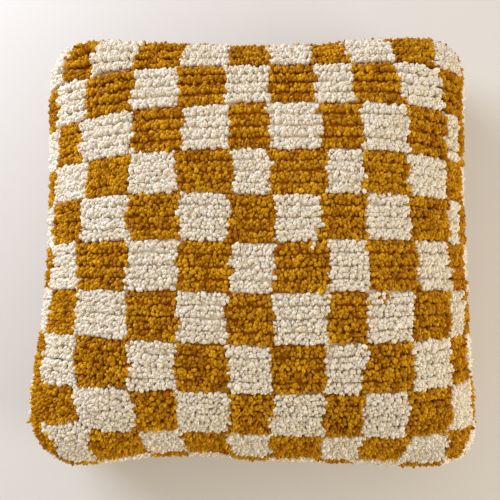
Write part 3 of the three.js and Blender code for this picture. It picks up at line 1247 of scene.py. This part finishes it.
    def _shade_ground(self, knots: Knots) -> None:
        """Gives each point of the body the yarn of the knot next to it.

        Args:
            knots: All the knots.
        """
        places = self.form.place(knots.s, self.pattern.slipped(knots.s, knots.t)) * MM
        tree = KDTree(len(places))
        for i, place in enumerate(places):
            tree.insert(place, i)
        tree.balance()
        nearest = [tree.find(vertex.co)[1] for vertex in self.body.data.vertices]
        shade = knots.mustard[np.array(nearest)].astype(np.float32)
        attribute = self.body.data.attributes.new("mustard", "FLOAT", "POINT")
        attribute.data.foreach_set("value", shade)


@dataclass
class BaseCloth:
    """The plain cotton under the pouf, stretched from foot to foot with a turned hem."""

    form: CoverForm
    cells: int = 40                  # along each side
    margin: float = 3.0              # mm inside the cover's foot
    lift: float = 0.4                # mm over the floor
    thickness: float = 1.6           # mm
    foot_width: float = 525.0        # mm across the cover's foot
    hem: float = 14.0                # mm of cloth that is turned under at each edge
    hem_rise: float = 0.5            # mm
    hem_slope: float = 2.0           # mm to each side over which its edge rises
    slack: float = 0.25              # mm that the cloth ripples
    ripple_width: float = 45.0       # mm

    def build(self, material: bpy.types.Material) -> bpy.types.Object:
        """Makes the base cloth.

        Args:
            material: Its finish.

        Returns:
            The finished piece.
        """
        deselect()
        bpy.ops.mesh.primitive_grid_add(x_subdivisions=self.cells, y_subdivisions=self.cells, size=2.0)
        cloth = bpy.context.active_object
        cloth.name = "base_cloth"
        square = coordinates(cloth.data)
        ring = np.maximum(np.abs(square[:, 0]), np.abs(square[:, 1]))
        outward = square[:, :2] / np.maximum(ring, LEAST_REACH)[:, None]
        s, t = outward.T * self.form.cloth_reach
        panel = self.form.panel_reach
        s = np.where(np.abs(outward[:, 0]) >= np.abs(outward[:, 1]), s, outward[:, 0] * panel)
        t = np.where(np.abs(outward[:, 1]) > np.abs(outward[:, 0]), t, outward[:, 1] * panel)
        rim = self.form.place(s, t)[:, :2]
        radius = np.linalg.norm(rim, axis=1)
        inwards = 1.0 - self.margin / radius
        flat = rim * (inwards * ring)[:, None]
        inset = radius * (1.0 - ring)
        half = self.hem / 2.0
        hem = 1.0 - smoothstep(np.abs(inset - half), half - self.hem_slope, half + self.hem_slope)
        places = flat / self.ripple_width
        ripple = np.array([noise.noise(Vector((x, y, 0.0))) for x, y in places])
        height = self.lift + self.slack * (0.5 + 0.5 * ripple) + self.hem_rise * hem
        points = np.column_stack([flat, height]) * MM
        cloth.data.vertices.foreach_set("co", points.ravel())
        cloth.data.update()
        make_active(cloth)
        wall = cloth.modifiers.new("wall", "SOLIDIFY")
        wall.thickness = self.thickness * MM
        wall.offset = 1.0
        bpy.ops.object.modifier_apply(modifier=wall.name)
        cloth.data.materials.append(material)
        cloth.data.shade_smooth()
        return cloth


@dataclass(frozen=True)
class Lamp:
    """A square soft light.

    Args:
        name: Its name.
        place: Where it hangs, in metres.
        size: Its side, in metres.
        power: Its power in watts.
        colour: Its colour.
    """

    name: str
    place: tuple[float, float, float]
    size: float
    power: float
    colour: str


@dataclass
class Studio:
    """A plain pale floor, soft light and the camera above the pouf."""

    focal_share: float = 0.96        # focal length as a share of the picture's width
    sensor: float = 36.0             # mm
    camera_place: tuple[float, float, float] = (-5.0, -68.0, 771.0)
    camera_tilt: float = 5.04        # degrees from straight down, towards the back
    floor_size: float = 8.0          # m
    floor_colour: str = "#d8d5d0"
    floor_roughness: float = 0.9
    lamps: tuple[Lamp, ...] = (
        Lamp("window", (-1.3, 1.05, 0.88), 1.2, 40.0, "#e4ecff"),
        Lamp("room", (2.0, -0.75, 0.6), 1.3, 37.0, "#fffaf2"),
    )
    aim: tuple[float, float, float] = (0.0, 0.0, 0.1)   # m, the place that the lamps face
    air_colour: str = "#f4e8d6"
    air_strength: float = 0.69

    def build(self) -> None:
        """Makes the floor, the lights and the camera."""
        self._camera()
        self._floor()
        for lamp in self.lamps:
            self._light(lamp)
        world = bpy.data.worlds.new("studio_air")
        world.use_nodes = True
        background = world.node_tree.nodes["Background"]
        background.inputs["Color"].default_value = linear(self.air_colour)
        background.inputs["Strength"].default_value = self.air_strength
        bpy.context.scene.world = world
        bpy.context.scene.view_settings.view_transform = "Standard"

    def _camera(self) -> None:
        """Puts the camera where the view shows the whole top and a little of the front."""
        data = bpy.data.cameras.new("camera")
        data.sensor_width = self.sensor
        data.lens = self.sensor * self.focal_share
        camera = bpy.data.objects.new("camera", data)
        camera.location = Vector(self.camera_place) * MM
        camera.rotation_euler = (math.radians(self.camera_tilt), 0.0, 0.0)
        bpy.context.scene.collection.objects.link(camera)
        bpy.context.scene.camera = camera

    def _floor(self) -> None:
        """Lays the plain floor under the pouf."""
        deselect()
        bpy.ops.mesh.primitive_plane_add(size=self.floor_size)
        floor = bpy.context.active_object
        floor.name = "floor"
        paint = {"Base Color": linear(self.floor_colour), "Roughness": self.floor_roughness}
        floor.data.materials.append(start_finish("painted_floor", paint)[0])

    def _light(self, lamp: Lamp) -> None:
        """Hangs a soft light that faces the pouf.

        Args:
            lamp: What is hung, and where.
        """
        data = bpy.data.lights.new(lamp.name, "AREA")
        data.size = lamp.size
        data.energy = lamp.power
        data.color = linear(lamp.colour)[:3]
        light = bpy.data.objects.new(lamp.name, data)
        light.location = lamp.place
        towards = Vector(self.aim) - Vector(lamp.place)
        light.rotation_euler = towards.to_track_quat("-Z", "Y").to_euler()
        light.visible_camera = False
        bpy.context.scene.collection.objects.link(light)


def report(piece: bpy.types.Object) -> None:
    """Logs a piece and its number of triangles.

    Args:
        piece: The piece.
    """
    triangles = sum(len(face.vertices) - 2 for face in piece.data.polygons)
    LOG.info("%s: %d triangles", piece.name, triangles)


def main() -> None:
    """Builds the pouf and its studio."""
    logging.basicConfig(level=logging.INFO, format="%(name)s: %(message)s", stream=sys.stdout)
    Studio().build()
    form = CoverForm()
    # Painted tones: both grooves are painted shade, the mustard's root is a deeper brown, painted shade, and
    # the cream's root is lighter than its strands, painted light in the gaps
    mustard = KnottedWool(
        "mustard_wool", dark="#9c5c02", light="#dfa519", root="#b26604", painted_groove_shade="#905002")
    cream = KnottedWool(
        "cream_wool", dark="#e8dac0", light="#f5ebda", root="#fbf2e4", painted_groove_shade="#d6c29e")

    body = StuffedBody(form).build(FoundationWool().build())
    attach(body, "root")
    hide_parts("pile_cover")
    report(body)

    pile = KnottedPile(form, CheckPattern(), body)
    for piece in pile.build({Yarn.MUSTARD: mustard.build(), Yarn.CREAM: cream.build()}):
        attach(piece, "root")
        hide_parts("pile_cover")
        report(piece)

    base = BaseCloth(form)
    cloth = base.build(PlainCotton().build())
    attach(cloth, "root")
    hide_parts("base_panel")
    report(cloth)


if __name__ == "__main__":
    main()
